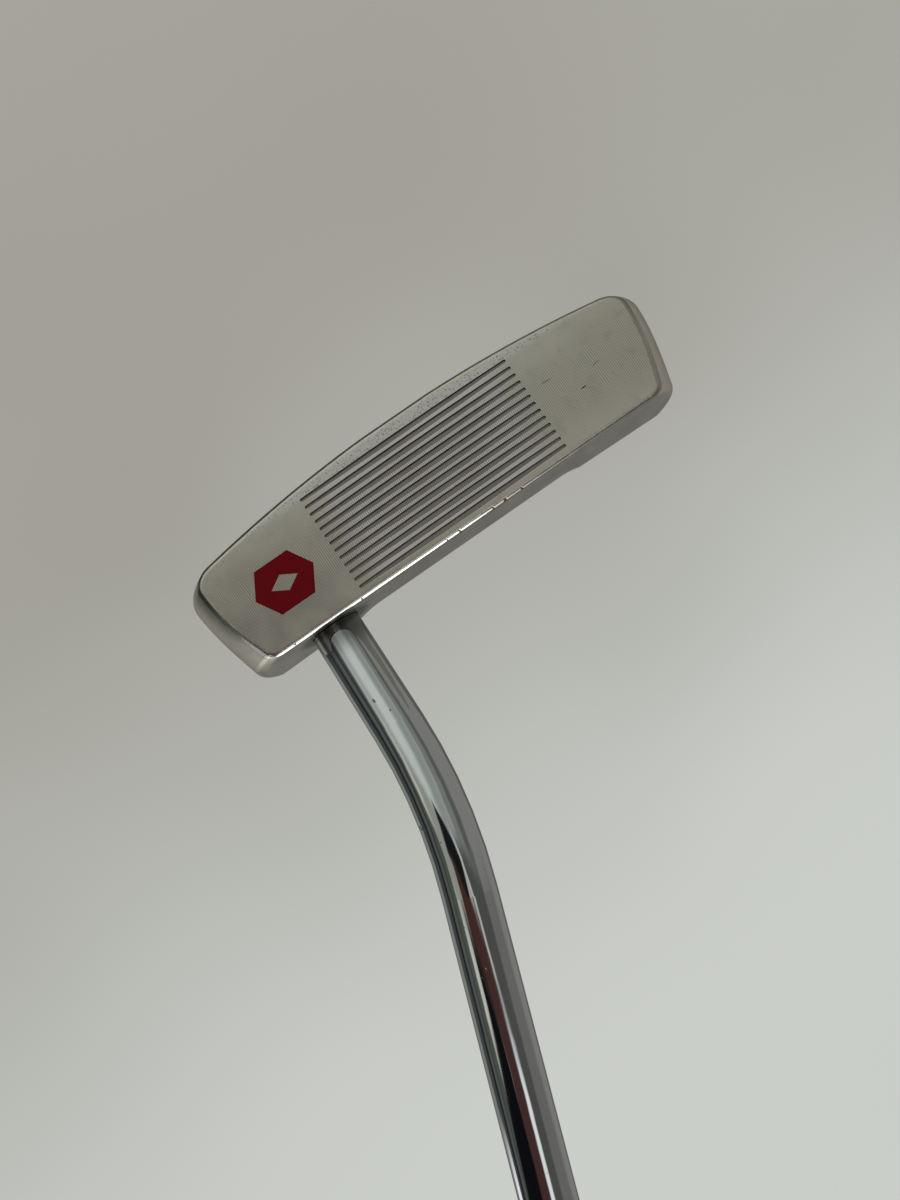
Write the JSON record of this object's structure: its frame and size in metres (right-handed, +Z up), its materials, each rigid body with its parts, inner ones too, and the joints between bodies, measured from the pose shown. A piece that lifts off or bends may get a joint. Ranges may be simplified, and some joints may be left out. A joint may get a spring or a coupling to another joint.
{
  "type": "blade putter",
  "caption": "Right-handed blade putter: lofted steel head with widening face grooves and a rear cavity, a bent stepped steel shaft, and a rubber grip with a thumb flat.",
  "frame": {"origin": "middle of the small flat on the sole, where the head rests on the ground at address", "axes": "+X from toe to heel, the face looks along -Y, +Z up; the shaft leans to +X at a lie of 70 degrees"},
  "size_m": [0.3647, 0.0436, 0.8147],
  "materials": {
    "head_steel": "satin milled stainless steel",
    "red_enamel": "dark red enamel fill",
    "black_enamel": "black enamel fill",
    "shaft_chrome": "polished chrome plating on steel tube",
    "adhesive": "cured epoxy",
    "plug_rubber": "matte",
    "tape": "woven double-sided tape",
    "grip_rubber": "matte moulded rubber",
    "cap_rubber": "smooth moulded rubber"
  },
  "bodies": {
    "root": {"head_body": "head_steel", "face_mark_paint": "red_enamel", "sight_line_paint": "black_enamel", "shaft": "shaft_chrome", "socket_bond": "adhesive", "tip_plug": "plug_rubber", "grip_tape": "tape", "grip_sleeve": "grip_rubber", "grip_cap": "cap_rubber"}
  },
  "joints": []
}
